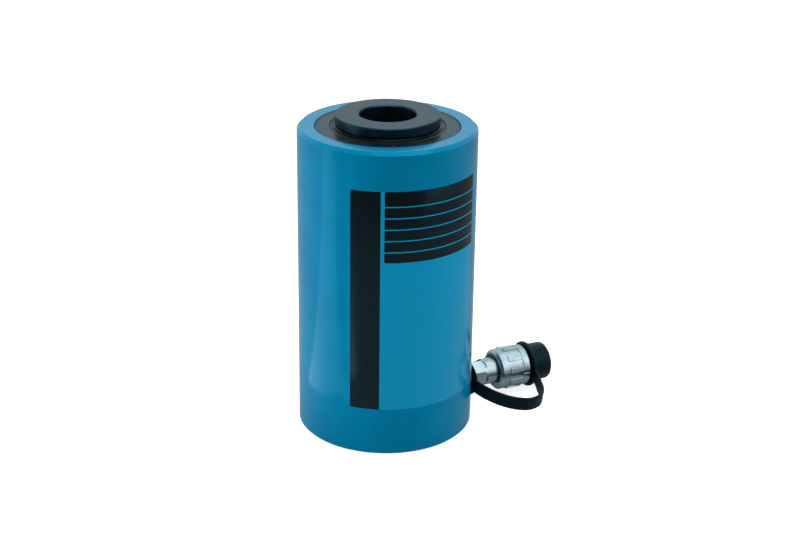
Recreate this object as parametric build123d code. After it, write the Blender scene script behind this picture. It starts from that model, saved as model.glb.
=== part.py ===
# Hollow-plunger single-acting hydraulic cylinder, 60 ton class, 100 mm stroke, spring return.
# Millimetres. The cylinder axis is Z, the base face is z = 0, and the oil port points along +X.
import os
from math import cos, radians, sin, sqrt, tan

from build123d import *

os.makedirs("parts", exist_ok=True)

# Body: the wall goes round the bore, and the bore round the return spring and the plunger
wall_thickness = 17.5
floor_thickness = 23.0
rim_chamfer = 3.0
base_chamfer = 2.0

# Centre tube, seated in the floor, whose hole takes a pull rod
tube_bore_d = 53.8
tube_wall = 8.1
tube_top_gap = 6.9
tube_lip = 6.0
tube_tip_chamfer = 2.0

# Stop ring, screwed into the mouth of the body; lands are the metal beside its two grooves
stop_ring_shoulder = 2.0
stop_ring_lower_land = 6.0
stop_ring_middle_land = 4.0
stop_ring_recess = 0.8
stop_ring_edge = 0.6
set_screw_d = 6.0
set_screw_length = 8.0
set_screw_sunk = 1.2
set_screw_socket = 3.0
set_screw_turn = 249.0

# Plunger and its piston flange, and the room that the closed return spring takes
stroke = 100.0
plunger_wall = 10.0
spring_closed_room = 100.9
spring_radial_room = 14.5
plunger_relief_gap = 2.5
plunger_above_body = 0.9
plunger_edge = 1.2
piston_oil_land = 9.0
piston_middle_land = 3.0
piston_top_land = 2.0
piston_rest_gap = 0.3
piston_oil_chamfer = 4.0

# Saddle, screwed into the plunger
saddle_inset = 1.1
saddle_hole_d = 50.4
saddle_top = 10.3
saddle_undercut_depth = 2.9
saddle_undercut_height = 1.2
saddle_stem_wall = 6.5
saddle_stem_length = 20.0
saddle_edge = 0.8
saddle_hole_edge = 1.1

# Seals, backup rings and wear rings: depth of the groove and height along the axis
piston_seal_depth = 7.0
inner_seal_depth = 6.0
seal_height = 6.0
backup_height = 2.0
wear_ring_depth = 2.5
wear_ring_height = 8.0
bearing_depth = 2.5
bearing_height = 12.0
wiper_depth = 4.0
wiper_height = 5.0
wiper_lip_share = 1 / 3
seal_lip_share = 0.3
seal_hollow_share = 0.5
tube_o_ring_d = 3.5
tube_o_ring_below_floor = 7.0

# Return spring; the pitch of the closed turns and the part ground off are shares of the wire
spring_wire_d = 9.0
spring_bore_gap = 3.0
spring_turns = 10.0
spring_closed_turns = 1.0
spring_closed_pitch = 1.02
spring_ground_share = 0.25

# Oil port and base holes
port_below_floor = 0.5
port_major_d = 17.1
port_taper = 1.0 / 16.0
port_depth = 15.0
port_spotface_d = 30.0
port_spotface_cut = 1.6
oil_passage_d = 6.0
base_hole_inset = 14.5
base_hole_d = 8.5
base_hole_depth = 15.0
base_hole_count = 2
drill_point = 30.0

# Coupler nipple, with lengths measured outwards from the body's surface
nipple_bore_d = 12.6
nipple_neck_d = 18.5
hex_flats = 21.8
hex_start = 2.5
hex_end = 23.6
hex_turn = 4.0
hex_mill_d = 15.0
nipple_round_d = 25.0
thread_engagement = 12.5

# Coupler collar: its mouth takes the thread of the other half, and the wall goes round it
collar_start = 34.8
collar_length = 31.0
collar_mouth_d = 33.0
collar_wall = 2.8
collar_back_room = 3.0
collar_back_recess = 3.4
collar_back_chamfer = 2.2
collar_web = 5.0
lug_height = 1.0
lug_start = 9.6
lug_length = 14.2
lug_count = 10
lug_width = 6.4
lug_turn = 22.0
lug_ring_groove = 0.9
collar_notch_width = 2.4
collar_notch_depth = 1.2
collar_notch_count = 2
nipple_head_gap = 1.5
nipple_head_length = 5.0
nipple_nose_room = 4.7
nipple_nose_length = 10.0
nipple_nose_edge = 1.0
snap_wire_d = 2.0

# Shut-off valve in the nipple
check_ball_gap = 0.8
check_seat_d = 8.6
check_seat_length = 3.0
check_travel = 4.0
check_wire_d = 1.2
check_spring_gap = 1.0
check_spring_turns = 7.0
check_spring_spare = 1.2
retainer_thickness = 3.0
retainer_hole_d = 4.0
face_seal_d = 2.4

# Dust cap: its skirt goes between the collar's mouth and the nipple's nose
cap_skirt_gap = 0.4
cap_nose_gap = 0.9
cap_skirt_to_seal = 2.7
cap_inner_flange_d = 37.0
cap_inner_flange = 1.6
cap_neck_d = 29.0
cap_neck_length = 4.6
cap_outer_flange_d = 39.6
cap_outer_flange = 1.6
cap_grip_d = 35.8
cap_grip_length = 16.7
cap_grip_edge = 3.0
cap_end_recess_d = 25.0
cap_end_recess = 1.2
cap_skirt_edge = 1.0

# Dust cap strap, with a ring round the nipple and a ring round the cap's neck
strap_thickness = 2.8
strap_width = 14.0
strap_droop = 12.0
strap_reach = 58.8
strap_root_offset = 3.9
strap_root_gap = 0.75
strap_root_rim = 5.8
strap_root_tilt = 12.0
strap_cap_gap = 0.8
strap_cap_rim = 6.5
strap_cap_ring_lift = 0.6
strap_root_run = 7.5
strap_first_turn = 18.0
strap_first_turn_short = 11.6
strap_flat_end = 29.0
strap_last_turn = 11.0
strap_last_turn_short = 1.8
strap_cap_run = 18.5
strap_cap_lean = 3.0
strap_bends = [30.0, 36.0, 25.0, 12.0, 40.0]

# Clearances
running_gap = 0.05
fitted_gap = 0.1
seat_gap = 0.3
cutter_over = 1.0

# Diameters of the main pieces, from the centre tube outwards, with the walls and clearances above
tube_od = tube_bore_d + 2 * tube_wall
plunger_relief_d = tube_od + 2 * plunger_relief_gap
plunger_od = plunger_relief_d + 2 * plunger_wall
bore_d = plunger_od + 2 * spring_radial_room
body_od = bore_d + 2 * wall_thickness
body_r = body_od / 2
stop_ring_od = bore_d + 2 * stop_ring_shoulder
saddle_od = plunger_od - 2 * saddle_inset
saddle_undercut_d = saddle_od - 2 * saddle_undercut_depth
saddle_stem_d = plunger_od - 2 * saddle_stem_wall
spring_mean_d = bore_d - 2 * spring_bore_gap - spring_wire_d
set_screw_circle_d = (plunger_od + stop_ring_od) / 2
base_hole_circle_d = body_od - 2 * base_hole_inset

# Heights: the piston and the stop ring are as thick as their grooves and lands
piston_bottom = floor_thickness + piston_rest_gap
seal_level = piston_bottom + piston_oil_land
wear_ring_level = seal_level + seal_height + backup_height + piston_middle_land
piston_top = wear_ring_level + wear_ring_height + piston_top_land
stop_ring_bottom = piston_top + spring_closed_room + stroke
bearing_level = stop_ring_bottom + stop_ring_lower_land
stop_ring_top = bearing_level + bearing_height + stop_ring_middle_land + wiper_height
body_height = stop_ring_top + stop_ring_recess
plunger_top = body_height + plunger_above_body
tube_top = plunger_top - saddle_stem_length - tube_top_gap
tube_o_ring_level = floor_thickness - tube_o_ring_below_floor
port_height = floor_thickness - port_below_floor

# The coupler and its dust cap, along the port's axis and across it
collar_x = body_r + collar_start
collar_end_x = collar_x + collar_length
nipple_shoulder_x = collar_x + collar_back_recess + collar_web
nipple_head_x = nipple_shoulder_x + nipple_head_length
nose_tip_x = nipple_head_x + nipple_nose_length
face_seal_x = nipple_head_x + seat_gap + face_seal_d / 2
cap_x = collar_end_x + seat_gap
cap_skirt_x = face_seal_x + face_seal_d / 2 + cap_skirt_to_seal
cap_neck_x = cap_x + cap_inner_flange
strap_root_x = body_r + strap_root_offset
strap_ring_x = cap_neck_x + cap_neck_length / 2
collar_band_d = collar_mouth_d + 2 * collar_wall
collar_lug_d = collar_band_d + 2 * lug_height
collar_back_recess_d = nipple_round_d + 2 * collar_back_room
nipple_head_d = collar_mouth_d - 2 * nipple_head_gap
nipple_nose_d = collar_mouth_d - 2 * nipple_nose_room
check_ball_d = nipple_bore_d - 2 * check_ball_gap
check_spring_od = nipple_bore_d - 2 * check_spring_gap
cap_skirt_od = collar_mouth_d - 2 * cap_skirt_gap
cap_skirt_id = nipple_nose_d + 2 * cap_nose_gap
strap_root_hole_d = nipple_round_d + 2 * strap_root_gap
strap_root_ring_d = strap_root_hole_d + 2 * strap_root_rim
strap_cap_hole_d = cap_neck_d + 2 * strap_cap_gap
strap_cap_ring_d = strap_cap_hole_d + 2 * strap_cap_rim
strap_cap_ring_thickness = cap_neck_length - 2 * seat_gap


def tube(outer_d, inner_d, z0, z1):
    """Ring of rectangular section about the Z axis."""
    profile = Rectangle((outer_d - inner_d) / 2, z1 - z0, align=(Align.MIN, Align.MIN))
    return revolve(Plane.XZ * Pos(inner_d / 2, z0) * profile, Axis.Z)


def turned(points):
    """Solid of revolution about Z from (radius, height) points."""
    return revolve(Plane.XZ * make_face(Polyline(*points, close=True)), Axis.Z)


def on_port_axis(shape):
    """Lays a shape turned about Z along +X at the height of the oil port."""
    return Pos(0, 0, port_height) * Rot(0, 90, 0) * shape


def save(node, shape):
    shape.label = node
    export_step(shape, f"parts/{node}.step")


def spring_coil(mean_d, wire_d, turns, z0, z1):
    """Round-wire compression spring between two heights, with closed end turns that are ground flat."""
    start = z0 + wire_d * spring_ground_share
    closed_height = spring_closed_turns * wire_d * spring_closed_pitch
    free_turns = turns - 2 * spring_closed_turns
    free_height = z1 - wire_d * spring_ground_share - start - 2 * closed_height
    spans = [
        (spring_closed_turns, closed_height),
        (free_turns, free_height),
        (spring_closed_turns, closed_height),
    ]
    coil = Part()
    turned_so_far = 0
    for span_turns, span_height in spans:
        path = Helix(pitch=span_height / span_turns, height=span_height, radius=mean_d / 2)
        section = Plane(origin=path @ 0, z_dir=path % 0) * Circle(wire_d / 2)
        span = sweep(section, path=path, is_frenet=True)
        coil += Pos(0, 0, start) * Rot(0, 0, 360 * turned_so_far) * span
        start += span_height
        turned_so_far += span_turns
    room = Cylinder(mean_d, z1 - z0, align=(Align.CENTER, Align.CENTER, Align.MIN))
    return coil & Pos(0, 0, z0) * room


def make_barrel():
    mouth_r = stop_ring_od / 2 + running_gap
    outline = [
        (tube_bore_d / 2, 0),
        (body_r - base_chamfer, 0),
        (body_r, base_chamfer),
        (body_r, body_height - rim_chamfer),
        (body_r - rim_chamfer, body_height),
        (mouth_r + stop_ring_edge, body_height),
        (mouth_r, body_height - stop_ring_edge),
        (mouth_r, stop_ring_bottom),
        (bore_d / 2, stop_ring_bottom),
        (bore_d / 2, floor_thickness),
        (tube_od / 2 + fitted_gap, floor_thickness),
        (tube_od / 2 + fitted_gap, tube_lip),
        (tube_bore_d / 2, tube_lip),
    ]
    body = turned(outline)
    spotface_r = port_spotface_d / 2
    body -= on_port_axis(Pos(0, 0, body_r - port_spotface_cut) * Cylinder(
        spotface_r, body_r, align=(Align.CENTER, Align.CENTER, Align.MIN)))
    large_r = port_major_d / 2 + fitted_gap
    small_r = large_r - port_depth * port_taper / 2
    body -= on_port_axis(Pos(0, 0, body_r - port_depth) * Cone(
        small_r, large_r, port_depth, align=(Align.CENTER, Align.CENTER, Align.MIN)))
    passage_length = body_r - port_depth - bore_d / 2 + oil_passage_d
    body -= on_port_axis(Pos(0, 0, bore_d / 2 - oil_passage_d) * Cylinder(
        oil_passage_d / 2, passage_length, align=(Align.CENTER, Align.CENTER, Align.MIN)))
    drill = turned([
        (0, 0),
        (base_hole_d / 2, 0),
        (base_hole_d / 2, base_hole_depth),
        (0, base_hole_depth + base_hole_d / 2 * tan(radians(drill_point))),
    ])
    for place in PolarLocations(base_hole_circle_d / 2, base_hole_count, start_angle=90):
        body -= place * drill
    return body


def make_centre_tube():
    outer_r = tube_od / 2
    outline = [
        (tube_bore_d / 2, tube_lip),
        (outer_r, tube_lip),
        (outer_r, tube_top - tube_tip_chamfer),
        (outer_r - tube_tip_chamfer, tube_top),
        (tube_bore_d / 2, tube_top),
    ]
    groove_r = outer_r - tube_o_ring_d
    half = tube_o_ring_d / 2 + fitted_gap
    groove = tube(tube_od + cutter_over, 2 * groove_r, tube_o_ring_level - half, tube_o_ring_level + half)
    return turned(outline) - groove


def make_centre_tube_o_ring():
    ring_r = tube_od / 2 - tube_o_ring_d / 2
    return Pos(0, 0, tube_o_ring_level) * Torus(ring_r, tube_o_ring_d / 2)


def set_screw_places():
    return PolarLocations(set_screw_circle_d / 2, 2, start_angle=set_screw_turn)


def make_stop_ring():
    outer_r = stop_ring_od / 2
    inner_r = plunger_od / 2 + running_gap
    outline = [
        (inner_r, stop_ring_bottom),
        (outer_r, stop_ring_bottom),
        (outer_r, stop_ring_top - stop_ring_edge),
        (outer_r - stop_ring_edge, stop_ring_top),
        (inner_r, stop_ring_top),
    ]
    ring = turned(outline)
    bearing_r = plunger_od / 2 + bearing_depth
    ring -= tube(2 * bearing_r, plunger_od, bearing_level, bearing_level + bearing_height)
    wiper_r = plunger_od / 2 + wiper_depth
    ring -= tube(2 * wiper_r, plunger_od, stop_ring_top - wiper_height, stop_ring_top + cutter_over)
    hole_depth = set_screw_length + set_screw_sunk
    drill = Cylinder(
        set_screw_d / 2 + fitted_gap, hole_depth, align=(Align.CENTER, Align.CENTER, Align.MAX))
    for place in set_screw_places():
        ring -= Pos(0, 0, stop_ring_top) * place * drill
    return ring


def make_set_screws():
    top = stop_ring_top - set_screw_sunk
    screw = Cylinder(set_screw_d / 2, set_screw_length, align=(Align.CENTER, Align.CENTER, Align.MAX))
    socket = extrude(RegularPolygon(set_screw_socket / 2, 6, major_radius=False), -set_screw_length / 2)
    screw = screw - socket
    return Compound([Pos(0, 0, top) * place * screw for place in set_screw_places()])


def make_stop_ring_bearing():
    inner_r = plunger_od / 2 + running_gap
    outer_r = plunger_od / 2 + bearing_depth
    z1 = bearing_level + bearing_height
    return tube(2 * outer_r, 2 * inner_r, bearing_level + running_gap, z1 - running_gap)


def make_plunger_wiper():
    inner_r = plunger_od / 2 + running_gap
    outer_r = plunger_od / 2 + wiper_depth
    z0 = stop_ring_top - wiper_height
    outline = [
        (inner_r + wiper_depth * wiper_lip_share, z0),
        (outer_r, z0),
        (outer_r, stop_ring_top - stop_ring_edge),
        (inner_r + wiper_depth * wiper_lip_share, stop_ring_top),
        (inner_r, stop_ring_top),
        (inner_r, stop_ring_top - wiper_height * wiper_lip_share),
    ]
    return turned(outline)


def make_plunger():
    outer_r = plunger_od / 2
    flange_r = bore_d / 2 - seat_gap
    inner_r = tube_od / 2 + seat_gap
    relief_r = plunger_relief_d / 2
    stem_r = saddle_stem_d / 2 + fitted_gap
    stem_z = plunger_top - saddle_stem_length
    outline = [
        (inner_r + piston_oil_chamfer / 2, piston_bottom),
        (flange_r - piston_oil_chamfer, piston_bottom),
        (flange_r, piston_bottom + piston_oil_chamfer),
        (flange_r, piston_top),
        (outer_r, piston_top),
        (outer_r, plunger_top - plunger_edge),
        (outer_r - plunger_edge, plunger_top),
        (stem_r, plunger_top),
        (stem_r, stem_z),
        (relief_r, stem_z),
        (relief_r, piston_top),
        (inner_r, piston_top),
        (inner_r, piston_bottom + piston_oil_chamfer / 2),
    ]
    plunger = turned(outline)
    seal_groove_top = seal_level + seal_height + backup_height
    plunger -= tube(bore_d, bore_d - 2 * piston_seal_depth, seal_level, seal_groove_top)
    plunger -= tube(tube_od + 2 * inner_seal_depth, tube_od, seal_level, seal_groove_top)
    wear_ring_top = wear_ring_level + wear_ring_height
    plunger -= tube(bore_d, bore_d - 2 * wear_ring_depth, wear_ring_level, wear_ring_top)
    plunger -= tube(tube_od + 2 * wear_ring_depth, tube_od, wear_ring_level, wear_ring_top)
    return plunger


def lip_seal(groove_r, wall_r):
    """U-cup whose hollow faces down, to the oil; groove_r is its heel and wall_r the wall that it seals."""
    side = 1 if wall_r > groove_r else -1
    depth = abs(wall_r - groove_r)
    heel = groove_r
    lip = wall_r - side * running_gap
    outline = [
        (heel, seal_level),
        (heel + side * depth * seal_lip_share, seal_level),
        (heel + side * depth / 2, seal_level + seal_height * seal_hollow_share),
        (lip - side * depth * seal_lip_share, seal_level),
        (lip, seal_level),
        (lip, seal_level + seal_height),
        (heel, seal_level + seal_height),
    ]
    return turned(outline)


def make_piston_seal():
    return lip_seal(bore_d / 2 - piston_seal_depth, bore_d / 2)


def make_inner_seal():
    return lip_seal(tube_od / 2 + inner_seal_depth, tube_od / 2)


def make_piston_backup_ring():
    z0 = seal_level + seal_height
    return tube(bore_d - 2 * running_gap, bore_d - 2 * piston_seal_depth, z0, z0 + backup_height)


def make_inner_backup_ring():
    z0 = seal_level + seal_height
    return tube(tube_od + 2 * inner_seal_depth, tube_od + 2 * running_gap, z0, z0 + backup_height)


def make_piston_wear_ring():
    z1 = wear_ring_level + wear_ring_height
    return tube(bore_d - 2 * running_gap, bore_d - 2 * wear_ring_depth, wear_ring_level, z1)


def make_inner_wear_ring():
    z1 = wear_ring_level + wear_ring_height
    return tube(tube_od + 2 * wear_ring_depth, tube_od + 2 * running_gap, wear_ring_level, z1)


def make_saddle():
    outer_r = saddle_od / 2
    hole_r = saddle_hole_d / 2
    stem_r = saddle_stem_d / 2
    top = body_height + saddle_top
    undercut_top = plunger_top + saddle_undercut_height
    outline = [
        (hole_r, plunger_top - saddle_stem_length),
        (stem_r, plunger_top - saddle_stem_length),
        (stem_r, plunger_top),
        (saddle_undercut_d / 2, plunger_top),
        (saddle_undercut_d / 2, undercut_top),
        (outer_r - saddle_edge / 2, undercut_top),
        (outer_r, undercut_top + saddle_edge / 2),
        (outer_r, top - saddle_edge),
        (outer_r - saddle_edge, top),
        (hole_r + saddle_hole_edge, top),
        (hole_r, top - saddle_hole_edge),
    ]
    return turned(outline)


def make_return_spring():
    return spring_coil(spring_mean_d, spring_wire_d, spring_turns,
                       piston_top + seat_gap, stop_ring_bottom - seat_gap)


def hex_mill_path(z0, z1):
    """Room that an end mill clears for one flat of the hexagon: straight, with the mill's round end."""
    mill_r = hex_mill_d / 2
    path = Pos(0, z0) * Rectangle(hex_mill_d, z1 - mill_r - z0, align=(Align.CENTER, Align.MIN))
    path += Pos(0, z1 - mill_r) * Circle(mill_r)
    flat = Plane(origin=(0, hex_flats / 2, 0), x_dir=(-1, 0, 0), z_dir=(0, 1, 0))
    return extrude(flat * path, nipple_round_d / 2)


def make_nipple():
    """Coupler body: tapered stub in the port, hexagon, round shank, head inside the collar and nose."""
    bore_r = nipple_bore_d / 2
    stub_tip = body_r - port_spotface_cut - thread_engagement
    stub_end = body_r - port_spotface_cut
    stub_r = port_major_d / 2 - port_spotface_cut * port_taper / 2
    tip_r = stub_r - thread_engagement * port_taper / 2
    hex_x0 = body_r + hex_start
    hex_x1 = body_r + hex_end
    round_r = nipple_round_d / 2
    seat_x = nose_tip_x - check_seat_length
    seat_r = check_seat_d / 2
    groove_x = collar_x + collar_back_recess - snap_wire_d / 2
    groove_r = round_r - snap_wire_d / 2
    outline = [
        (bore_r, stub_tip),
        (tip_r, stub_tip),
        (stub_r, stub_end),
        (nipple_neck_d / 2, stub_end),
        (nipple_neck_d / 2, hex_x0),
        (round_r, hex_x0),
        (round_r, groove_x - snap_wire_d / 2),
        (groove_r, groove_x - snap_wire_d / 2),
        (groove_r, groove_x + snap_wire_d / 2),
        (round_r, groove_x + snap_wire_d / 2),
        (round_r, nipple_shoulder_x + running_gap),
        (nipple_head_d / 2, nipple_shoulder_x + running_gap),
        (nipple_head_d / 2, nipple_head_x),
        (nipple_nose_d / 2, nipple_head_x),
        (nipple_nose_d / 2, nose_tip_x - nipple_nose_edge),
        (nipple_nose_d / 2 - nipple_nose_edge, nose_tip_x),
        (seat_r, nose_tip_x),
        (seat_r, seat_x),
        (bore_r, seat_x - (bore_r - seat_r)),
    ]
    body = turned(outline)
    mill = hex_mill_path(hex_x0 - cutter_over, hex_x1)
    for k in range(6):
        body -= Rot(0, 0, hex_turn + k * 60) * mill
    body -= Pos(0, 0, face_seal_x) * Torus(nipple_nose_d / 2 + face_seal_d / 4, face_seal_d / 2)
    return on_port_axis(body)


def make_face_seal():
    wire_r = face_seal_d / 2 - running_gap
    return on_port_axis(Pos(0, 0, face_seal_x) * Torus(nipple_nose_d / 2 + face_seal_d / 4, wire_r))


def make_collar():
    """Threaded collar: plain back band, raised lugs, plain front band, web that runs on the nipple."""
    band_r = collar_band_d / 2
    web_x0 = collar_x + collar_back_recess
    lug_x0 = collar_x + lug_start
    lug_x1 = lug_x0 + lug_length
    outline = [
        (nipple_round_d / 2 + running_gap, web_x0),
        (collar_back_recess_d / 2, web_x0),
        (collar_back_recess_d / 2, collar_x),
        (band_r - collar_back_chamfer, collar_x),
        (band_r, collar_x + collar_back_chamfer),
        (band_r, lug_x1),
        (band_r - lug_ring_groove, lug_x1),
        (band_r - lug_ring_groove, lug_x1 + lug_ring_groove),
        (band_r, lug_x1 + lug_ring_groove),
        (band_r, collar_end_x - stop_ring_edge),
        (band_r - stop_ring_edge, collar_end_x),
        (collar_mouth_d / 2, collar_end_x),
        (collar_mouth_d / 2, nipple_shoulder_x),
        (nipple_round_d / 2 + running_gap, nipple_shoulder_x),
    ]
    collar = turned(outline)
    ring = tube(collar_lug_d, collar_band_d - 2 * lug_ring_groove, lug_x0, lug_x1)
    bar = Box(lug_width, collar_lug_d, lug_length, align=(Align.CENTER, Align.MIN, Align.MIN))
    bars = [Rot(0, 0, lug_turn + k * 360 / lug_count) * Pos(0, 0, lug_x0) * bar for k in range(lug_count)]
    collar += ring & Compound(bars)
    notch_x = lug_x1 + lug_ring_groove
    notch = Pos(0, band_r - collar_notch_depth, notch_x) * Box(
        collar_notch_width, collar_notch_depth + cutter_over, collar_length,
        align=(Align.CENTER, Align.MIN, Align.MIN))
    for k in range(collar_notch_count):
        collar -= Rot(0, 0, k * 360 / collar_notch_count) * notch
    return on_port_axis(collar)


def make_snap_ring():
    groove_x = collar_x + collar_back_recess - snap_wire_d / 2
    return on_port_axis(Pos(0, 0, groove_x) * Torus(nipple_round_d / 2, snap_wire_d / 2 - running_gap))


def check_ball_x():
    """Place of the ball when it rests on the cone between the bore and the seat."""
    seat_x = nose_tip_x - check_seat_length
    return seat_x - sqrt((check_ball_d / 2) ** 2 - (check_seat_d / 2) ** 2) - running_gap


def make_check_ball():
    return on_port_axis(Pos(0, 0, check_ball_x()) * Sphere(check_ball_d / 2))


def check_spring_ends():
    """Places of the two ends of the valve's spring: on the retainer, and against the ball."""
    wire_r = check_wire_d / 2
    flat_r = sqrt(wire_r ** 2 - (check_wire_d * spring_ground_share) ** 2)
    edge_r = check_spring_od / 2 - wire_r - flat_r
    front = check_ball_x() - sqrt((check_ball_d / 2) ** 2 - edge_r ** 2) - running_gap
    length = check_spring_turns * check_wire_d + check_travel + check_spring_spare
    return front - length, front


def make_check_spring():
    back, front = check_spring_ends()
    mean_d = check_spring_od - check_wire_d
    return on_port_axis(spring_coil(mean_d, check_wire_d, check_spring_turns, back, front))


def make_check_spring_retainer():
    x1 = check_spring_ends()[0]
    return on_port_axis(tube(nipple_bore_d - 2 * running_gap, retainer_hole_d, x1 - retainer_thickness, x1))


def make_dust_cap():
    disc_x = cap_neck_x + cap_neck_length
    grip_x = disc_x + cap_outer_flange
    end_x = grip_x + cap_grip_length
    outline = [
        (0, cap_x),
        (cap_skirt_id / 2, cap_x),
        (cap_skirt_id / 2, cap_skirt_x),
        (cap_skirt_od / 2 - cap_skirt_edge, cap_skirt_x),
        (cap_skirt_od / 2, cap_skirt_x + cap_skirt_edge),
        (cap_skirt_od / 2, cap_x),
        (cap_inner_flange_d / 2, cap_x),
        (cap_inner_flange_d / 2, cap_neck_x),
        (cap_neck_d / 2, cap_neck_x),
        (cap_neck_d / 2, disc_x),
        (cap_outer_flange_d / 2, disc_x),
        (cap_outer_flange_d / 2, grip_x),
        (cap_grip_d / 2, grip_x),
        (cap_grip_d / 2, end_x - cap_grip_edge),
        (cap_grip_d / 2 - cap_grip_edge, end_x),
        (cap_end_recess_d / 2, end_x),
        (cap_end_recess_d / 2, end_x - cap_end_recess),
        (0, end_x - cap_end_recess),
    ]
    return on_port_axis(turned(outline))


def strap_plane():
    """Plane that holds the strap's loop: its X axis is the port axis, its Y axis runs out and down."""
    droop = radians(strap_droop)
    return Plane(origin=(0, 0, port_height), x_dir=(1, 0, 0), z_dir=(0, sin(droop), -cos(droop)))


def strap_path():
    """Middle line of the strap in that plane, from the ring on the nipple to the ring on the cap."""
    root_u = (strap_root_ring_d + strap_root_hole_d) / 4
    cap_u = (strap_cap_ring_d + strap_cap_hole_d) / 4
    lean = tan(radians(strap_root_tilt))
    corners = [
        (strap_root_x + root_u * lean, root_u),
        (strap_root_x + (root_u + strap_root_run) * lean, root_u + strap_root_run),
        (strap_root_x + strap_first_turn, strap_reach - strap_first_turn_short),
        (strap_ring_x - strap_flat_end, strap_reach),
        (strap_ring_x - strap_last_turn, strap_reach - strap_last_turn_short),
        (strap_ring_x - strap_cap_lean, cap_u + strap_cap_run),
        (strap_ring_x, cap_u),
    ]
    return FilletPolyline(*corners, radius=strap_bends)


def make_strap():
    """Flat strap moulded with a ring at each end; it leaves the nipple, loops out and comes back."""
    root_ring = tube(strap_root_ring_d, strap_root_hole_d, -strap_thickness / 2, strap_thickness / 2)
    cap_ring = tube(strap_cap_ring_d, strap_cap_hole_d,
                    -strap_cap_ring_thickness / 2, strap_cap_ring_thickness / 2)
    loop = extrude(trace(strap_path(), strap_thickness), strap_width / 2, both=True)
    flat_root = Pos(strap_root_x, 0, 0) * Rot(0, 0, -strap_root_tilt) * Rot(0, 90, 0) * root_ring
    flat_cap = Pos(strap_ring_x, -strap_cap_ring_lift, 0) * Rot(0, 90, 0) * cap_ring
    strap = flat_root + flat_cap + loop
    return strap_plane().location * strap


pieces = {
    "cylinder_barrel": make_barrel,
    "centre_tube": make_centre_tube,
    "centre_tube_o_ring": make_centre_tube_o_ring,
    "stop_ring": make_stop_ring,
    "stop_ring_set_screws": make_set_screws,
    "stop_ring_bearing": make_stop_ring_bearing,
    "plunger_wiper": make_plunger_wiper,
    "return_spring": make_return_spring,
    "plunger": make_plunger,
    "piston_seal": make_piston_seal,
    "piston_backup_ring": make_piston_backup_ring,
    "piston_wear_ring": make_piston_wear_ring,
    "inner_seal": make_inner_seal,
    "inner_backup_ring": make_inner_backup_ring,
    "inner_wear_ring": make_inner_wear_ring,
    "saddle": make_saddle,
    "coupler_nipple": make_nipple,
    "coupler_face_seal": make_face_seal,
    "coupler_collar": make_collar,
    "collar_snap_ring": make_snap_ring,
    "check_ball": make_check_ball,
    "check_spring": make_check_spring,
    "check_spring_retainer": make_check_spring_retainer,
    "dust_cap": make_dust_cap,
    "dust_cap_strap": make_strap,
}

for node, make in pieces.items():
    save(node, make())
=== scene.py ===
# Hollow-plunger hydraulic cylinder with its quick coupler: finishes, light and camera round the frame.
import math

import bmesh
import bpy
import numpy as np
from mathutils import Matrix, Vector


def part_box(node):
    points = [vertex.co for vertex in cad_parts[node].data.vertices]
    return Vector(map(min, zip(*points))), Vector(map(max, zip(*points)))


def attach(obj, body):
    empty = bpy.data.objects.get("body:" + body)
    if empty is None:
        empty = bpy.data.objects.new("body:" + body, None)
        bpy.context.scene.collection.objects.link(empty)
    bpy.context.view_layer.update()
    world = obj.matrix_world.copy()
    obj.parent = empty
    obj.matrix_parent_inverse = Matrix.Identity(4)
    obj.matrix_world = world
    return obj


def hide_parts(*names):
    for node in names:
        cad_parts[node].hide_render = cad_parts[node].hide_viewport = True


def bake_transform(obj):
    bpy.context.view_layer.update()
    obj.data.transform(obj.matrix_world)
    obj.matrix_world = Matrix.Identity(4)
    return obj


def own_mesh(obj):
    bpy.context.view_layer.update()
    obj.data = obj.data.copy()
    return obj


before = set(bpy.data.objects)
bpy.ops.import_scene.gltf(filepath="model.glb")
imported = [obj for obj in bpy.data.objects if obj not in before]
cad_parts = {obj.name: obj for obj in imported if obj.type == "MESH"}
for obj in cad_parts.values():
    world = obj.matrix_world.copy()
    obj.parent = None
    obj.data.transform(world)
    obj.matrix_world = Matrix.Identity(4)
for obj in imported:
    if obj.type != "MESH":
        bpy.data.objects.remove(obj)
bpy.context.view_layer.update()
mm = 0.001
turn = 2 * math.pi
print("frame loaded:", len(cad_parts), "nodes")


# Lengths read from the frame, in metres
barrelLow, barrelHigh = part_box("cylinder_barrel")
ringLow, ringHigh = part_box("stop_ring")
collarLow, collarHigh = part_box("coupler_collar")
capLow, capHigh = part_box("dust_cap")
strapLow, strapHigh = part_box("dust_cap_strap")
springLow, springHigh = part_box("return_spring")
valveLow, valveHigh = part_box("check_spring")
bodyRadius = -barrelLow.y
portHeight = (collarLow.z + collarHigh.z) / 2


# Small helpers

def srgb(hexText):
    """Linear red, green, blue and alpha of an sRGB hex colour: ((c + 0.055) / 1.055) ** 2.4 above the toe."""
    parts = np.array([int(hexText[i:i + 2], 16) / 255 for i in (1, 3, 5)])
    linear = np.where(parts <= 0.04045, parts / 12.92, ((parts + 0.055) / 1.055) ** 2.4)
    return (*linear.tolist(), 1.0)


def addNode(tree, kind, inputs=None, **settings):
    """Adds one node, with its settings, and its inputs as values or as links from other nodes' outputs."""
    made = tree.nodes.new(kind)
    for name, value in settings.items():
        setattr(made, name, value)
    for name, value in (inputs or {}).items():
        if isinstance(value, bpy.types.NodeSocket):
            tree.links.new(value, made.inputs[name])
        else:
            made.inputs[name].default_value = value
    return made


def newMaterial(name, **sockets):
    """A material with one Principled shader, whose sockets get constants; returns material, tree, shader."""
    material = bpy.data.materials.new(name)
    material.use_nodes = True
    tree = material.node_tree
    shader = tree.nodes["Principled BSDF"]
    for socketName, value in sockets.items():
        shader.inputs[socketName.replace("_", " ")].default_value = value
    return material, tree, shader


def math2(tree, operation, a, b=0.0):
    return addNode(tree, "ShaderNodeMath", {0: a, 1: b}, operation=operation).outputs[0]


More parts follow.
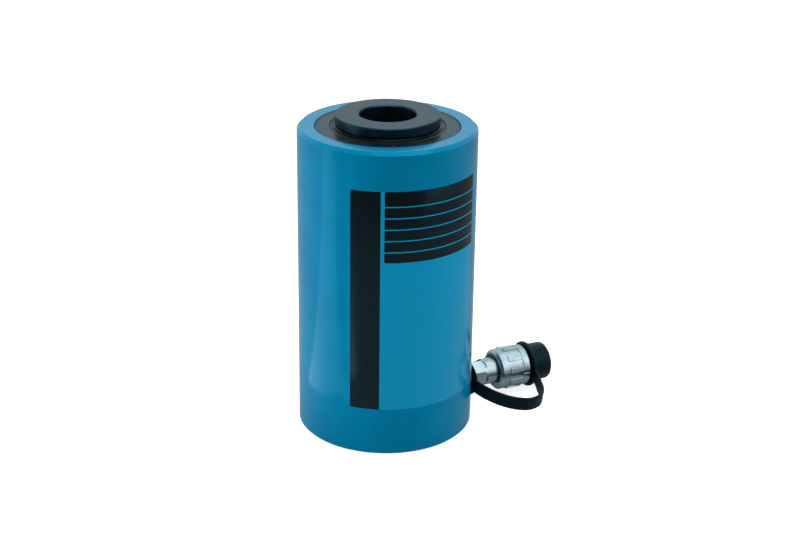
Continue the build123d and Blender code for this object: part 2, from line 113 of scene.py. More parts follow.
def objectPlace(tree):
    """Object coordinates, and their x, y and z apart."""
    place = addNode(tree, "ShaderNodeTexCoord").outputs["Object"]
    parts = addNode(tree, "ShaderNodeSeparateXYZ", {0: place}).outputs
    return place, parts[0], parts[1], parts[2]


def noiseOf(tree, place, grain, detail=3.0, roughness=0.5):
    """Noise whose blotches are about grain metres wide."""
    made = addNode(tree, "ShaderNodeTexNoise",
                   {"Vector": place, "Scale": 1 / grain, "Detail": detail, "Roughness": roughness})
    return made.outputs["Fac"]


def rampOf(tree, factor, low, high, lowAt=0.0, highAt=1.0):
    """Two-colour ramp between two places of its factor."""
    made = addNode(tree, "ShaderNodeValToRGB", {0: factor})
    made.color_ramp.elements[0].position = lowAt
    made.color_ramp.elements[1].position = highAt
    made.color_ramp.elements[0].color = low
    made.color_ramp.elements[1].color = high
    return made.outputs["Color"]


def spanOf(tree, factor, low, high):
    """A number between low and high, following a factor from 0 to 1."""
    return addNode(tree, "ShaderNodeMapRange", {0: factor, 3: low, 4: high}).outputs[0]


def mixOf(tree, factor, a, b):
    """Colour a where factor is 0, colour b where it is 1."""
    return addNode(tree, "ShaderNodeMix", {0: factor, 6: a, 7: b}, data_type="RGBA").outputs[2]


def bumpOf(tree, height, distance, strength=1.0, normal=None):
    inputs = {"Height": height, "Distance": distance, "Strength": strength}
    if normal is not None:
        inputs["Normal"] = normal
    return addNode(tree, "ShaderNodeBump", inputs).outputs["Normal"]


def link(tree, output, shader, socketName):
    tree.links.new(output, shader.inputs[socketName])


def wear(node, material):
    """Gives a frame node its material in every slot."""
    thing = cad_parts[node]
    if not thing.material_slots:
        thing.data.materials.append(material)
    for slot in thing.material_slots:
        slot.material = material


def gridObject(name, points, material, closeU=False, closeV=False, capEnds=False, sharpAngle=32):
    """Mesh of a grid of points, rows along u and columns along v: quad (i, j) joins each point to the next
    row and the next column; closed directions wrap round, and capped ends get one face each."""
    rows, columns = points.shape[:2]
    i = np.arange(rows if closeU else rows - 1)
    j = np.arange(columns if closeV else columns - 1)
    i, j = np.meshgrid(i, j, indexing="ij")
    nextI, nextJ = (i + 1) % rows, (j + 1) % columns
    quads = np.stack([i * columns + j, nextI * columns + j, nextI * columns + nextJ, i * columns + nextJ], -1)
    faces = quads.reshape(-1, 4).tolist()
    if capEnds:
        faces.append(np.arange(columns)[::-1].tolist())
        faces.append(((rows - 1) * columns + np.arange(columns)).tolist())
    mesh = bpy.data.meshes.new(name)
    mesh.from_pydata(points.reshape(-1, 3).tolist(), [], faces)
    work = bmesh.new()
    work.from_mesh(mesh)
    bmesh.ops.remove_doubles(work, verts=work.verts, dist=1e-7)  # closes poles and seams
    bmesh.ops.recalc_face_normals(work, faces=work.faces)
    work.to_mesh(mesh)
    work.free()
    mesh.materials.append(material)
    mesh.polygons.foreach_set("use_smooth", np.ones(len(mesh.polygons), bool))
    mesh.set_sharp_from_angle(angle=math.radians(sharpAngle))
    thing = bpy.data.objects.new(name, mesh)
    bpy.context.scene.collection.objects.link(thing)
    return thing


def roundedLine(corners, radii, steps=7):
    """Line through corners, each corner replaced by the quadratic curve that leaves its two runs at radius
    from the corner: (1 - t)^2 a + 2 t (1 - t) corner + t^2 b, with t from 0 to 1."""
    corners = np.array(corners, float)
    t = np.linspace(0, 1, steps)[:, None]
    pieces = [corners[:1]]
    for before, corner, after, radius in zip(corners[:-2], corners[1:-1], corners[2:], radii):
        if radius == 0:
            pieces.append(corner[None, :])
            continue
        a = corner + (before - corner) * radius / np.linalg.norm(before - corner)
        b = corner + (after - corner) * radius / np.linalg.norm(after - corner)
        pieces.append((1 - t) ** 2 * a + 2 * t * (1 - t) * corner + t ** 2 * b)
    pieces.append(corners[-1:])
    return np.concatenate(pieces)


def roundedRectangle(width, height, radius, steps=5):
    """Closed section of a bar: four straight sides joined by quarter circles, as (across, along) points."""
    quarter = np.linspace(0, turn / 4, steps)
    sides = [(1, 1, 0), (-1, 1, 1), (-1, -1, 2), (1, -1, 3)]
    parts = []
    for across, along, index in sides:
        angle = quarter + index * turn / 4
        centre = [across * (width / 2 - radius), along * (height / 2 - radius)]
        parts.append(np.stack([centre[0] + radius * np.cos(angle), centre[1] + radius * np.sin(angle)], -1))
    return np.concatenate(parts)


def turnedOnPort(profile, segments=144):
    """A profile of (radius, distance along X) turned about the port's axis: y = r cos a, z = height + r sin a."""
    angle = np.linspace(0, turn, segments, endpoint=False)
    radius, along = profile[:, 0][None, :], profile[:, 1][None, :]
    x = np.broadcast_to(along, (segments, len(profile)))
    y = radius * np.cos(angle)[:, None]
    z = portHeight + radius * np.sin(angle)[:, None]
    return np.stack([x, y, z], -1)


def carried(centres, across, along, section):
    """A section carried along a path: centre + a times the across direction + b times the along direction."""
    a, b = section[:, 0][None, :, None], section[:, 1][None, :, None]
    return centres[:, None, :] + a * across[:, None, :] + b * along[:, None, :]


# Body paint: two-pack enamel sprayed on turned steel. Gives the eye a deep even blue with a soft gloss,
# the faint ripple of sprayed paint, and bare machined steel where the spray was masked.
paint = {"colour": "#0083ae", "deep": "#007ba5", "rippleMm": 2.2, "rippleDepthMm": 0.012, "driftMm": 60,
         "roughness": 0.13, "bareSteel": "#8f9498", "mouthRadiusMm": 64.4, "baseFaceMm": 0.2}


def bodyPaint():
    material, tree, shader = newMaterial(
        "enamelBlue", Roughness=paint["roughness"], Specular_IOR_Level=0.35, IOR=1.5,
        Specular_Tint=srgb("#00d2ff"))
    place, x, y, z = objectPlace(tree)
    drift = noiseOf(tree, place, paint["driftMm"] * mm, 2.0)
    blue = rampOf(tree, drift, srgb(paint["deep"]), srgb(paint["colour"]), 0.35, 0.65)
    radius = math2(tree, "SQRT", math2(tree, "ADD", math2(tree, "MULTIPLY", x, x), math2(tree, "MULTIPLY", y, y)))
    bare = math2(tree, "MAXIMUM", math2(tree, "LESS_THAN", radius, paint["mouthRadiusMm"] * mm),
                 math2(tree, "LESS_THAN", z, paint["baseFaceMm"] * mm))
    link(tree, mixOf(tree, bare, blue, srgb(paint["bareSteel"])), shader, "Base Color")
    link(tree, bare, shader, "Metallic")
    smear = noiseOf(tree, place, 18 * mm, 4.0)
    rough = math2(tree, "ADD", spanOf(tree, smear, paint["roughness"] - 0.03, paint["roughness"] + 0.04),
                  math2(tree, "MULTIPLY", bare, 0.12))
    link(tree, rough, shader, "Roughness")
    ripple = noiseOf(tree, place, paint["rippleMm"] * mm, 1.5)
    link(tree, bumpOf(tree, ripple, paint["rippleDepthMm"] * mm), shader, "Normal")
    return material


# Black oxide: steel turned on a lathe, blackened in a hot salt bath and oiled. Gives a blue-black surface,
# grey where it mirrors the room at a low angle, with rings of tool marks and a slightly blotched oil film.
blackOxide = {"colour": "#080d10", "worn": "#18242a", "toolMarkMm": 0.6, "toolMarkDepthMm": 0.004,
              "blotchMm": 9, "roughness": 0.3}


def blackOxideSteel(name, markAcross):
    """Tool marks run round the cylinder: a wave over radius plus height, coarser than the real 0.2 mm."""
    material, tree, shader = newMaterial(name, Specular_IOR_Level=0.5, IOR=1.5, Specular_Tint=srgb("#6fd0f5"))
    place, x, y, z = objectPlace(tree)
    radius = math2(tree, "SQRT", math2(tree, "ADD", math2(tree, "MULTIPLY", x, x), math2(tree, "MULTIPLY", y, y)))
    blotch = noiseOf(tree, place, blackOxide["blotchMm"] * mm, 5.0, 0.6)
    link(tree, rampOf(tree, blotch, srgb(blackOxide["colour"]), srgb(blackOxide["worn"]), 0.42, 0.85),
         shader, "Base Color")
    link(tree, spanOf(tree, blotch, blackOxide["roughness"] - 0.08, blackOxide["roughness"] + 0.1),
         shader, "Roughness")
    phase = math2(tree, "MULTIPLY", math2(tree, "ADD", radius, z), turn / (markAcross * mm))
    marks = math2(tree, "SINE", phase)
    grit = noiseOf(tree, place, 0.5 * mm, 2.0)
    height = math2(tree, "ADD", math2(tree, "MULTIPLY", marks, 0.5), grit)
    link(tree, bumpOf(tree, height, blackOxide["toolMarkDepthMm"] * mm), shader, "Normal")
    return material


# Metals: one recipe for plated, ground and drawn steel and for bronze. Each gives a clean mirror broken by
# its own tool marks and by a cloudy film.
def metal(name, colour, cloud, roughness, spread, markMm, markDepthMm, axis, anisotropic=0.0):
    """Marks are waves along the part's axis: z for what turns about Z, x for what turns about the port."""
    material, tree, shader = newMaterial(name, Metallic=1.0, Anisotropic=anisotropic)
    place, x, y, z = objectPlace(tree)
    film = noiseOf(tree, place, 7 * mm, 4.0, 0.6)
    link(tree, rampOf(tree, film, srgb(colour), srgb(cloud), 0.4, 0.75), shader, "Base Color")
    link(tree, spanOf(tree, film, roughness - spread, roughness + spread), shader, "Roughness")
    along = x if axis == "x" else z
    wobble = math2(tree, "MULTIPLY", noiseOf(tree, place, 4 * mm, 2.0), markMm * mm * 0.7)
    phase = math2(tree, "MULTIPLY", math2(tree, "ADD", along, wobble), turn / (markMm * mm))
    fine = noiseOf(tree, place, markMm * mm, 3.0)
    height = math2(tree, "ADD", math2(tree, "MULTIPLY", math2(tree, "SINE", phase), 0.4), fine)
    link(tree, bumpOf(tree, height, markDepthMm * mm), shader, "Normal")
    return material


# The plunger's end above its ground length isn't plated: blackened steel. Its near-black is also painted shade,
# standing in for the shade under the saddle's flange.
plungerEndAndShade = {"darkAndShadedMm": 9.0, "colour": "#0d1215", "rougher": 0.2}


def blackenEndAndShade(material):
    tree = material.node_tree
    shader = tree.nodes["Principled BSDF"]
    place, x, y, z = objectPlace(tree)
    # The plunger's top few millimetres turn near-black: unplated steel, and painted shade under the saddle's flange.
    above = math2(tree, "GREATER_THAN", z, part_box("plunger")[1].z - plungerEndAndShade["darkAndShadedMm"] * mm)
    plated = shader.inputs["Base Color"].links[0].from_socket
    smooth = shader.inputs["Roughness"].links[0].from_socket
    link(tree, mixOf(tree, above, plated, srgb(plungerEndAndShade["colour"])), shader, "Base Color")
    rough = math2(tree, "ADD", smooth, math2(tree, "MULTIPLY", above, plungerEndAndShade["rougher"]))
    link(tree, rough, shader, "Roughness")


# Rubbers and plastics: moulded. Each gives a dull skin with the fine grain of its mould.
def moulded(name, colour, bloom, roughness, grainMm, grainDepthMm, specular=0.35, subsurface=0.0,
            sheen="#ffffff"):
    material, tree, shader = newMaterial(name, Specular_IOR_Level=specular, IOR=1.5, Specular_Tint=srgb(sheen),
                                         Subsurface_Weight=subsurface, Subsurface_Scale=0.002)
    place, x, y, z = objectPlace(tree)
    dust = noiseOf(tree, place, 11 * mm, 5.0, 0.65)
    link(tree, rampOf(tree, dust, srgb(colour), srgb(bloom), 0.45, 0.8), shader, "Base Color")
    link(tree, spanOf(tree, dust, roughness - 0.07, roughness + 0.1), shader, "Roughness")
    grain = noiseOf(tree, place, grainMm * mm, 3.0)
    link(tree, bumpOf(tree, grain, grainDepthMm * mm), shader, "Normal")
    return material


enamelBlue = bodyPaint()
blackSaddle = blackOxideSteel("blackOxideTurned", blackOxide["toolMarkMm"])
blackRing = blackOxideSteel("blackOxideFaced", 1.2 * blackOxide["toolMarkMm"])
zincPlate = metal("zincPlateBright", "#b7c4c8", "#a1aeb2", 0.3, 0.06, 0.5, 0.002, "x")
hardChrome = metal("hardChromeGround", "#d3d6d9", "#c8ccd0", 0.09, 0.03, 0.3, 0.0008, "z", 0.3)
# Near-black plunger end: partly unplated steel, partly painted shade under the saddle.
blackenEndAndShade(hardChrome)
ballSteel = metal("ballSteelPolished", "#d6d8da", "#cdd0d3", 0.07, 0.02, 0.3, 0.0004, "x")
turnedSteel = metal("steelTurned", "#a3a8ac", "#8d9397", 0.3, 0.06, 0.4, 0.005, "z")
springSteel = metal("springSteelPeened", "#5d6165", "#4a4e52", 0.42, 0.08, 0.8, 0.02, "z")
bearingBronze = metal("bearingBronze", "#b08a4e", "#94713c", 0.3, 0.06, 0.4, 0.004, "z")
blackRubber = moulded("rubberMoulded", "#0b1214", "#131c1e", 0.36, 0.5, 0.012, 0.3, 0.0, "#5fb8e0")
nitrile = moulded("nitrileRubber", "#0b0b0c", "#151617", 0.42, 0.3, 0.006)
urethane = moulded("polyurethane", "#3f5f86", "#4a6c94", 0.3, 0.4, 0.004, 0.4, 0.15)
nylon = moulded("nylonNatural", "#ded8c6", "#d2cab5", 0.4, 0.4, 0.005, 0.4, 0.2)
lockingRed = moulded("lockingCompound", "#5a090e", "#3d0609", 0.22, 1.2, 0.05, 0.5, 0.1)

finishes = {
    "cylinder_barrel": enamelBlue, "centre_tube": turnedSteel, "centre_tube_o_ring": nitrile,
    "stop_ring": blackRing, "stop_ring_set_screws": blackSaddle, "stop_ring_bearing": bearingBronze,
    "plunger_wiper": nitrile, "return_spring": springSteel, "plunger": hardChrome, "piston_seal": urethane,
    "piston_backup_ring": nylon, "piston_wear_ring": nylon, "inner_seal": urethane,
    "inner_backup_ring": nylon, "inner_wear_ring": nylon, "saddle": blackSaddle,
    "coupler_nipple": zincPlate, "coupler_face_seal": nitrile, "coupler_collar": zincPlate,
    "collar_snap_ring": springSteel, "check_ball": ballSteel, "check_spring": springSteel,
    "check_spring_retainer": turnedSteel, "dust_cap": blackRubber, "dust_cap_strap": blackRubber,
}
for nodeName, finish in finishes.items():
    wear(nodeName, finish)
print("finishes on", len(finishes), "nodes")


# Data label: a printed vinyl film wrapped on the wall, left bare: a black band, a black table with thin
# lines between its rows, and a plain blue field. Film gives a smoother gloss than the paint round it.
label = {"fromDegrees": -138.5, "toDegrees": -46.6, "bottomMm": 44.4, "topMm": 247.7, "filmMm": 0.14,
         "sunkMm": 0.04, "bandMm": 26.6, "gapMm": 3.3, "tableMm": 64.2, "headingMm": 13.2, "rowMm": 10.25,
         "lineMm": 1.0, "blue": "#009bca", "black": "#101517", "roughness": 0.2}


def labelPrint():
    """Print laid out in mm on the film: u is the arc from its left edge, v the depth below its top edge."""
    material, tree, shader = newMaterial("vinylFilmPrinted", Roughness=label["roughness"], IOR=1.5,
                                         Specular_IOR_Level=0.35, Specular_Tint=srgb("#8fe9ff"))
    place, x, y, z = objectPlace(tree)
    angle = math2(tree, "ARCTAN2", y, x)
    arc = math2(tree, "MULTIPLY", math2(tree, "SUBTRACT", angle, math.radians(label["fromDegrees"])),
                bodyRadius / mm)
    depth = math2(tree, "SUBTRACT", label["topMm"], math2(tree, "DIVIDE", z, mm))
    band = math2(tree, "LESS_THAN", arc, label["bandMm"])
    inTable = math2(tree, "MULTIPLY", math2(tree, "GREATER_THAN", arc, label["bandMm"] + label["gapMm"]),
                    math2(tree, "LESS_THAN", depth, label["tableMm"]))
    belowHeading = math2(tree, "SUBTRACT", depth, label["headingMm"])
    onLine = math2(tree, "MULTIPLY", math2(tree, "GREATER_THAN", belowHeading, 0.0),
                   math2(tree, "LESS_THAN", math2(tree, "FLOORED_MODULO", belowHeading, label["rowMm"]),
                         label["lineMm"]))
    ink = math2(tree, "MAXIMUM", band, math2(tree, "MULTIPLY", inTable, math2(tree, "SUBTRACT", 1.0, onLine)))
    drift = noiseOf(tree, place, 45 * mm, 2.0)
    blue = mixOf(tree, math2(tree, "MULTIPLY", drift, 0.12), srgb(label["blue"]), srgb(paint["deep"]))
    link(tree, mixOf(tree, ink, blue, srgb(label["black"])), shader, "Base Color")
    ripple = noiseOf(tree, place, 5 * mm, 2.0)
    height = math2(tree, "ADD", ripple, math2(tree, "MULTIPLY", ink, 0.4))
    link(tree, bumpOf(tree, height, 0.01 * mm), shader, "Normal")
    return material


def dataLabel():
    """Film on the wall: a thin upright rectangle carried along the arc x = R cos a, y = R sin a."""
    angle = np.radians(np.linspace(label["fromDegrees"], label["toDegrees"], 88))
    outward = np.stack([np.cos(angle), np.sin(angle), np.zeros_like(angle)], -1)
    upward = np.broadcast_to([0.0, 0.0, 1.0], outward.shape)
    height = (label["topMm"] - label["bottomMm"]) * mm
    middle = (label["topMm"] + label["bottomMm"]) / 2 * mm
    radius = bodyRadius + (label["filmMm"] / 2 - label["sunkMm"]) * mm
    centres = outward * radius + upward * middle
    section = roundedRectangle(label["filmMm"] * mm, height, 0.04 * mm, 3)
    film = gridObject("data_label", carried(centres, outward, upward, section), labelPrint(),
                      closeV=True, capEnds=True)
    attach(film, "cylinder")


dataLabel()
print("label on")


# Dust cap: moulded rubber plug with a round grip. Its corners are soft, as a mould leaves them.
cap = {"skirtOutMm": 16.1, "skirtInMm": 12.7, "innerFlangeMm": 18.5, "neckMm": 14.5, "outerFlangeMm": 19.8,
       "gripMm": 17.9, "flangeThickMm": 1.6, "neckLengthMm": 4.6, "gripLengthMm": 16.7, "recessMm": 12.5,
       "recessDepthMm": 1.2, "softMm": 0.6, "gripSoftMm": 3.4}


def dustCap():
    """Closed profile turned about the port's axis, from the disc's middle out over skirt, flanges and grip."""
    x0, x3 = capLow.x, capHigh.x
    face = collarHigh.x + 0.3 * mm
    neck = face + cap["flangeThickMm"] * mm
    disc = neck + cap["neckLengthMm"] * mm
    grip = disc + cap["flangeThickMm"] * mm
    radii = {key: value * mm for key, value in cap.items()}
    corners = [
        (0, face), (radii["skirtInMm"], face), (radii["skirtInMm"], x0), (radii["skirtOutMm"], x0),
        (radii["skirtOutMm"], face), (radii["innerFlangeMm"], face), (radii["innerFlangeMm"], neck),
        (radii["neckMm"], neck), (radii["neckMm"], disc), (radii["outerFlangeMm"], disc),
        (radii["outerFlangeMm"], grip), (radii["gripMm"], grip), (radii["gripMm"], x3),
        (radii["recessMm"], x3), (radii["recessMm"], x3 - radii["recessDepthMm"]),
        (0, x3 - radii["recessDepthMm"]),
    ]
    soft, thin = radii["softMm"], 0.4 * mm
    rounding = [soft, thin, soft, thin, soft, soft, thin, thin, soft, soft, thin, radii["gripSoftMm"], thin, thin]
    points = turnedOnPort(roundedLine(corners, rounding))
    piece = gridObject("cap", points, blackRubber, closeU=True)
    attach(piece, "dust_cap")
    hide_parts("dust_cap")


# Strap of the cap: one moulding with a ring round the nipple, a flat band that loops out and down, and a
# ring round the cap's neck. Points are in the loop's own plane: along the port's axis, and outwards.
strap = {"thickMm": 2.8, "widthMm": 14.0, "droopDegrees": 12.0, "rootXMm": 83.4, "rootTiltDegrees": 12.0,
         "rootHoleMm": 13.25, "rootRimMm": 19.05, "ringXMm": 149.5, "ringHoleMm": 15.3, "ringRimMm": 21.8,
         "ringThickMm": 4.0, "ringLiftMm": 0.6, "cornerMm": 1.0, "voxelMm": 0.42,
         "route": [(85.5, 16.0), (87.0, 22.0), (90.3, 29.8), (95.4, 38.6), (101.8, 46.4), (109.0, 52.6),
                   (117.5, 57.2), (124.0, 58.6), (130.5, 57.8), (136.5, 55.0), (141.0, 50.0), (143.5, 44.0),
                   (145.5, 36.0), (148.5, 27.0), (149.5, 18.5)]}


def smoothRoute(points, count=160):
    """Uniform quadratic B-spline with doubled ends: in each span (1-t)^2/2 a + (1/2 + t - t^2) b + t^2/2 c."""
    points = np.array(points, float)
    points = np.concatenate([2 * points[:1] - points[1:2], points, 2 * points[-1:] - points[-2:-1]])
    s = np.linspace(0, len(points) - 2 - 1e-9, count)
    k = s.astype(int)
    t = (s - k)[:, None]
    a, b, c = points[k], points[k + 1], points[k + 2]
    return (1 - t) ** 2 / 2 * a + (0.5 + t - t ** 2) * b + t ** 2 / 2 * c


def tiltedRing(name, x, tilt, lift, hole, rim, thick, corner):
    """Ring of rounded section round the port's axis, leaned by a small angle in the loop's plane."""
    section = roundedRectangle(rim - hole, thick, corner, 4)
    angle = np.linspace(0, turn, 96, endpoint=False)
    droop = math.radians(strap["droopDegrees"])
    outward = np.array([0.0, -math.cos(droop), -math.sin(droop)])
    sideways = np.array([0.0, math.sin(droop), -math.cos(droop)])
    axis = np.array([1.0, 0.0, 0.0])
    leanOut = outward * math.cos(tilt) + axis * math.sin(tilt)
    leanAxis = axis * math.cos(tilt) - outward * math.sin(tilt)
    radial = np.cos(angle)[:, None] * leanOut + np.sin(angle)[:, None] * sideways
    middle = np.array([x, 0.0, portHeight]) + lift * outward
    centres = middle + radial * (hole + rim) / 2
    return gridObject(name, carried(centres, radial, np.broadcast_to(leanAxis, radial.shape), section),
                      blackRubber, closeU=True, closeV=True)


def capStrap():
    """The band is a rounded bar carried along the loop; with both rings it is fused by a fine voxel remesh,
    whose steps a smoothing takes away, as the fillets of the mould do."""
    droop = math.radians(strap["droopDegrees"])
    outward = np.array([0.0, -math.cos(droop), -math.sin(droop)])
    sideways = np.array([0.0, math.sin(droop), -math.cos(droop)])
    axis = np.array([1.0, 0.0, 0.0])
    route = smoothRoute(strap["route"]) * mm
    slope = np.gradient(route, axis=0)
    slope /= np.linalg.norm(slope, axis=1)[:, None]
    centres = route[:, :1] * axis + route[:, 1:] * outward + np.array([0.0, 0.0, portHeight])
    across = slope[:, 1:] * axis - slope[:, :1] * outward
    along = np.broadcast_to(sideways, across.shape)
    section = roundedRectangle(strap["thickMm"] * mm, strap["widthMm"] * mm, strap["cornerMm"] * mm, 4)
    band = gridObject("strap", carried(centres, across, along, section), blackRubber,
                      closeV=True, capEnds=True)
    root = tiltedRing("rootRing", strap["rootXMm"] * mm, math.radians(strap["rootTiltDegrees"]), 0.0,
                      strap["rootHoleMm"] * mm, strap["rootRimMm"] * mm, strap["thickMm"] * mm,
                      strap["cornerMm"] * mm)
    ring = tiltedRing("capRing", strap["ringXMm"] * mm, 0.0, strap["ringLiftMm"] * mm,
                      strap["ringHoleMm"] * mm, strap["ringRimMm"] * mm, strap["ringThickMm"] * mm,
                      1.2 * mm)
    bpy.ops.object.select_all(action="DESELECT")
    for part in (band, root, ring):
        part.select_set(True)
    bpy.context.view_layer.objects.active = band
    bpy.ops.object.join()
    fuse = band.modifiers.new("fuse", "REMESH")
    fuse.mode, fuse.voxel_size = "VOXEL", strap["voxelMm"] * mm
    fuse.use_smooth_shade = True
    soften = band.modifiers.new("soften", "SMOOTH")
    soften.factor, soften.iterations = 0.5, 9
    for name in ("fuse", "soften"):
        bpy.ops.object.modifier_apply(modifier=name)
    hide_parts("dust_cap_strap")
    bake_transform(band)


dustCap()
capStrap()
print("cap and strap on")


# Springs: round wire whose end turns lie flat. The height rises slowly in the end turns and evenly between.
springs = {"return": {"wireMm": 9.0, "meanMm": 109.0, "turns": 10.0, "strokeMm": 100.0},
           "valve": {"wireMm": 1.2, "meanMm": 9.4, "turns": 7.0, "strokeMm": 4.0}}


def coil(values, length, pointsPerTurn=28, sides=10):
    """Helix r (cos a, sin a) with height eased at both ends; the wire is a circle round it, pulled flat
    onto the ends: height = wire / 2 + (length - wire) * (share - e sin(2 pi share)), e being the ease."""
    wire, radius = values["wireMm"] * mm, values["meanMm"] / 2 * mm
    share = np.linspace(0, 1, int(values["turns"] * pointsPerTurn))
    angle = share * values["turns"] * turn
    height = wire / 2 + (length - wire) * (share - 0.1 * np.sin(turn * share))
    centres = np.stack([radius * np.cos(angle), radius * np.sin(angle), height], -1)
    radial = np.stack([np.cos(angle), np.sin(angle), np.zeros_like(angle)], -1)
    upward = np.broadcast_to([0.0, 0.0, 1.0], radial.shape)
    ring = np.linspace(0, turn, sides, endpoint=False)
    section = np.stack([np.cos(ring), np.sin(ring)], -1) * wire / 2
    return carried(centres, radial, upward, section)


def returnSpring():
    values = springs["return"]
    length = springHigh.z - springLow.z
    points = coil(values, length) + np.array([0.0, 0.0, springLow.z])
    piece = gridObject("coil_spring", points, springSteel, closeV=True, capEnds=True)
    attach(piece, "cylinder")
    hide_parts("return_spring")
    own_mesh(piece)


def valveSpring():
    values = springs["valve"]
    length = valveHigh.x - valveLow.x
    points = coil(values, length, 24, 8)
    laid = np.stack([valveLow.x + points[..., 2], points[..., 1], portHeight - points[..., 0]], -1)
    piece = gridObject("valve_spring", laid, springSteel, closeV=True, capEnds=True)
    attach(piece, "cylinder")
    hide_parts("check_spring")
    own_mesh(piece)


returnSpring()
valveSpring()
print("springs on")


# Small things that the frame leaves to this script: thread in the collar, compound on the set screws.
thread = {"rootMm": 16.52, "crestMm": 16.22, "pitchMm": 2.0, "fromMm": 124.2, "toMm": 144.6}
compound = {"circleMm": 55.75, "turnDegrees": 249.0, "radiusMm": 2.85, "topBelowRingMm": 0.25, "domeMm": 0.5}


def collarThread():
    """Ridge of triangular section on a helix about the port's axis, faded out at both ends."""
    turns = (thread["toMm"] - thread["fromMm"]) / thread["pitchMm"]
    share = np.linspace(0, 1, int(turns * 72))
    angle = share * turns * turn
    radial = np.stack([np.zeros_like(angle), np.cos(angle), np.sin(angle)], -1)
    axis = np.broadcast_to([1.0, 0.0, 0.0], radial.shape)
    x = (thread["fromMm"] + (thread["toMm"] - thread["fromMm"]) * share) * mm
    centres = radial * thread["rootMm"] * mm + axis * x[:, None] + np.array([0.0, 0.0, portHeight])
    fade = np.clip(np.minimum(share, 1 - share) * turns * 4, 0.02, 1)
    rise = (thread["rootMm"] - thread["crestMm"]) * mm * fade
    foot = 0.42 * thread["pitchMm"] * mm
    section = np.array([(0.05 * mm, -foot), (-1.0, -0.15 * foot), (-1.0, 0.15 * foot), (0.05 * mm, foot)])
    inward = np.where(section[:, 0][None, :] < 0, -rise[:, None], section[:, 0][None, :])
    points = (centres[:, None, :] + inward[..., None] * radial[:, None, :]
              + section[:, 1][None, :, None] * axis[:, None, :])
    piece = gridObject("collar_thread", points, zincPlate, closeV=True, capEnds=True)
    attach(piece, "collar")


def lockingCompound():
    """A drop in each socket: radius from 0 to 1 of its edge, height falling as 1 - r^2 with a lumpy edge."""
    r = np.linspace(0, 1, 9)[None, :]
    angle = np.linspace(0, turn, 40, endpoint=False)[:, None]
    lump = 1 - 0.05 * (1 + np.sin(3 * angle)) - 0.03 * (1 + np.cos(5 * angle + 1))
    radius = compound["radiusMm"] * mm * r * lump
    top = (compound["domeMm"] * (1 - r ** 2) + 0.08 * np.sin(2 * angle + 3 * r) * r) * mm
    reach = np.concatenate([radius, radius[:, ::-1]], axis=1)
    height = np.concatenate([top, np.full_like(top, -0.9 * mm)], axis=1)
    for index in range(2):
        place = math.radians(compound["turnDegrees"] + 180 * index)
        centre = compound["circleMm"] * mm * np.array([math.cos(place), math.sin(place)])
        base = ringHigh.z - (compound["topBelowRingMm"] + compound["domeMm"]) * mm
        points = np.stack([centre[0] + reach * np.cos(angle), centre[1] + reach * np.sin(angle),
                           base + height], -1)
        piece = gridObject(f"compound_{index + 1}", points, lockingRed, closeU=True)
        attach(piece, "cylinder")


collarThread()
lockingCompound()
print("thread and compound on")


def placed(right, up, back, place):
    """Matrix of a thing whose own axes point right, up and back from a place."""
    rows = [[right[k], up[k], back[k], place[k]] for k in range(3)]
    return Matrix(rows + [[0, 0, 0, 1]])


# Stage: white floor that keeps the shadow, surroundings that metal mirrors, two strips, a fill and a top light
studio = {"floorMetres": 8.0, "floorColour": "#e6e6e6", "floorGlow": 0.79, "floorShadeInMetal": "#97a3a8",
          "floorMirrored": 0.12, "skyLight": 0.27, "mirroredAbove": "#d3e9f1", "mirroredFront": "#303f47",
          "frontDegrees": -115.6}
lamps = {
    "leftStrip": {"place": (-0.9, 0.25, 0.5), "aim": (0, 0, 0.14), "size": (0.5, 1.0), "watts": 4.6},
    "leftCard": {"place": (-0.416, 0.062, 0.12), "aim": (-0.096, -0.01, 1.06), "size": (0.13, 0.62), "watts": 0.24},
    "thinCard": {"place": (-0.406, -0.15, 0.12), "aim": (-0.079, -0.058, 1.06), "size": (0.03, 0.62), "watts": 0.06},
    "topBox": {"place": (0.1, -0.1, 1.35), "aim": (0, 0, 0.28), "size": (1.0, 1.0), "watts": 10},
    "rightFill": {"place": (1.0, -1.1, 0.8), "aim": (0.05, 0, 0.1), "size": (1.3, 1.3), "watts": 6},
}


def whiteFloor():
    size = studio["floorMetres"] / 2
    mesh = bpy.data.meshes.new("floor")
    mesh.from_pydata([(-size, -size, 0), (size, -size, 0), (size, size, 0), (-size, size, 0)], [],
                     [(0, 1, 2, 3)])
    floor = bpy.data.objects.new("floor", mesh)
    bpy.context.scene.collection.objects.link(floor)
    material = bpy.data.materials.new("whiteSweep")
    material.use_nodes = True
    tree = material.node_tree
    tree.nodes.clear()
    rays = addNode(tree, "ShaderNodeLightPath").outputs
    # Metal mirrors the floor greyer and with a weaker glow than the camera sees it: painted shade, standing in for
    # the floor shaded round the object.
    mirrored = math2(tree, "MAXIMUM", rays["Is Glossy Ray"], rays["Is Transmission Ray"])
    glow = math2(tree, "MAXIMUM", math2(tree, "MULTIPLY", rays["Is Camera Ray"], studio["floorGlow"]),
                 math2(tree, "MULTIPLY", mirrored, studio["floorMirrored"]))
    # Grey floor colour for mirrored rays only: painted shade in the reflections.
    shade = mixOf(tree, mirrored, srgb(studio["floorColour"]), srgb(studio["floorShadeInMetal"]))
    lit = addNode(tree, "ShaderNodeBsdfDiffuse", {"Color": shade}).outputs[0]
    white = addNode(tree, "ShaderNodeEmission", {"Color": (1, 1, 1, 1), "Strength": glow}).outputs[0]
    both = addNode(tree, "ShaderNodeAddShader", {0: lit, 1: white}).outputs[0]
    addNode(tree, "ShaderNodeOutputMaterial", {"Surface": both})
    mesh.materials.append(material)


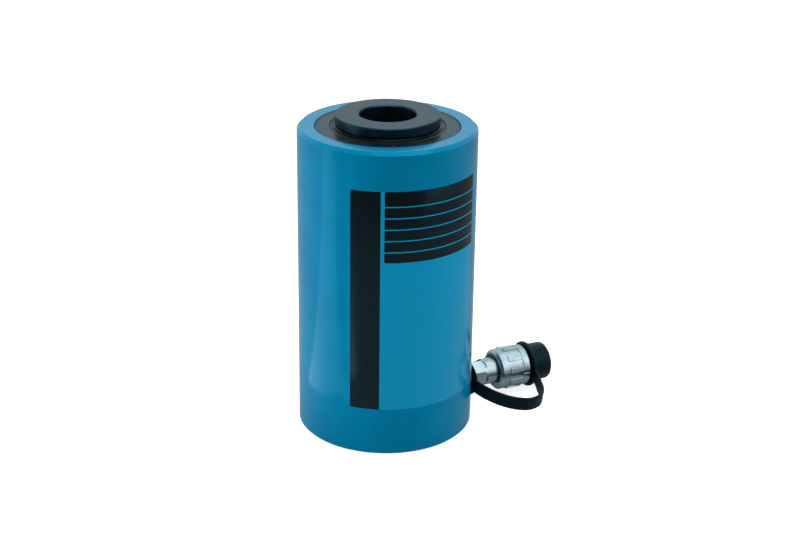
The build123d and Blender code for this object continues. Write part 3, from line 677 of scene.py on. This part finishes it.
def surroundings():
    # White where the camera looks past the object. Mirrored, it is white above and behind, and falls to a dim
    # room low on the front side: share = 1 where the direction leans at the front and lies under 60 degrees.
    world = bpy.data.worlds.new("studio")
    bpy.context.scene.world = world
    world.use_nodes = True
    tree = world.node_tree
    tree.nodes.clear()
    rays = addNode(tree, "ShaderNodeLightPath").outputs
    mirrored = math2(tree, "MAXIMUM", rays["Is Glossy Ray"], rays["Is Transmission Ray"])
    seen = math2(tree, "MAXIMUM", rays["Is Camera Ray"], mirrored)
    towards = addNode(tree, "ShaderNodeTexCoord").outputs["Generated"]
    front = math.radians(studio["frontDegrees"])
    lean = addNode(tree, "ShaderNodeVectorMath", {0: towards, 1: (math.cos(front), math.sin(front), 0)},
                   operation="DOT_PRODUCT").outputs["Value"]
    height = addNode(tree, "ShaderNodeSeparateXYZ", {0: towards}).outputs[2]
    faces = addNode(tree, "ShaderNodeMapRange", {0: lean, 1: -0.2, 2: 0.6, 3: 0.0, 4: 1.0},
                    interpolation_type="SMOOTHSTEP").outputs[0]
    low = addNode(tree, "ShaderNodeMapRange", {0: height, 1: 0.2, 2: 0.85, 3: 1.0, 4: 0.0},
                  interpolation_type="SMOOTHSTEP").outputs[0]
    dim = mixOf(tree, math2(tree, "MULTIPLY", faces, low), srgb(studio["mirroredAbove"]),
                srgb(studio["mirroredFront"]))
    colour = mixOf(tree, mirrored, srgb("#ffffff"), dim)
    strength = spanOf(tree, seen, studio["skyLight"], 1.0)
    sky = addNode(tree, "ShaderNodeBackground", {"Color": colour, "Strength": strength})
    addNode(tree, "ShaderNodeOutputWorld", {"Surface": sky.outputs[0]})


def addLamp(name, values):
    """Area lamp whose face looks from its place at its aim."""
    data = bpy.data.lights.new(name, "AREA")
    data.shape = "RECTANGLE"
    data.size, data.size_y = values["size"]
    data.energy = values["watts"]
    lamp = bpy.data.objects.new(name, data)
    bpy.context.scene.collection.objects.link(lamp)
    away = np.array(values["place"], float) - np.array(values["aim"], float)
    away /= np.linalg.norm(away)
    side = np.cross([0.0, 0.0, 1.0], away) if abs(away[2]) < 0.98 else np.array([1.0, 0.0, 0.0])
    side /= np.linalg.norm(side)
    up = np.cross(away, side)
    lamp.matrix_world = placed(side, up, away, values["place"])
    lamp.visible_camera = False


whiteFloor()
surroundings()
for lampName, lampValues in lamps.items():
    addLamp(lampName, lampValues)
print("stage lit")


# Camera: place in metres, angles in degrees; turned about Z, tipped down and rolled, as the picture shows
view = {"place": (-0.5882, -1.2275, 0.7026), "turn": -26.11, "down": 21.22, "roll": 0.76, "lensMm": 73.23,
        "shiftY": -0.05}


def addCamera():
    data = bpy.data.cameras.new("camera")
    data.lens, data.sensor_width, data.shift_y = view["lensMm"], 36.0, view["shiftY"]
    data.clip_start, data.clip_end = 0.01, 50.0
    camera = bpy.data.objects.new("camera", data)
    bpy.context.scene.collection.objects.link(camera)
    yaw, down, roll = (math.radians(view[key]) for key in ("turn", "down", "roll"))
    forward = np.array([-math.sin(yaw) * math.cos(down), math.cos(yaw) * math.cos(down), -math.sin(down)])
    right = np.array([math.cos(yaw), math.sin(yaw), 0.0])
    up = np.cross(right, forward)
    right, up = (math.cos(roll) * right + math.sin(roll) * up, math.cos(roll) * up - math.sin(roll) * right)
    camera.matrix_world = placed(right, up, -forward, view["place"])
    bpy.context.scene.camera = camera


addCamera()
bpy.context.scene.view_settings.view_transform = "Standard"
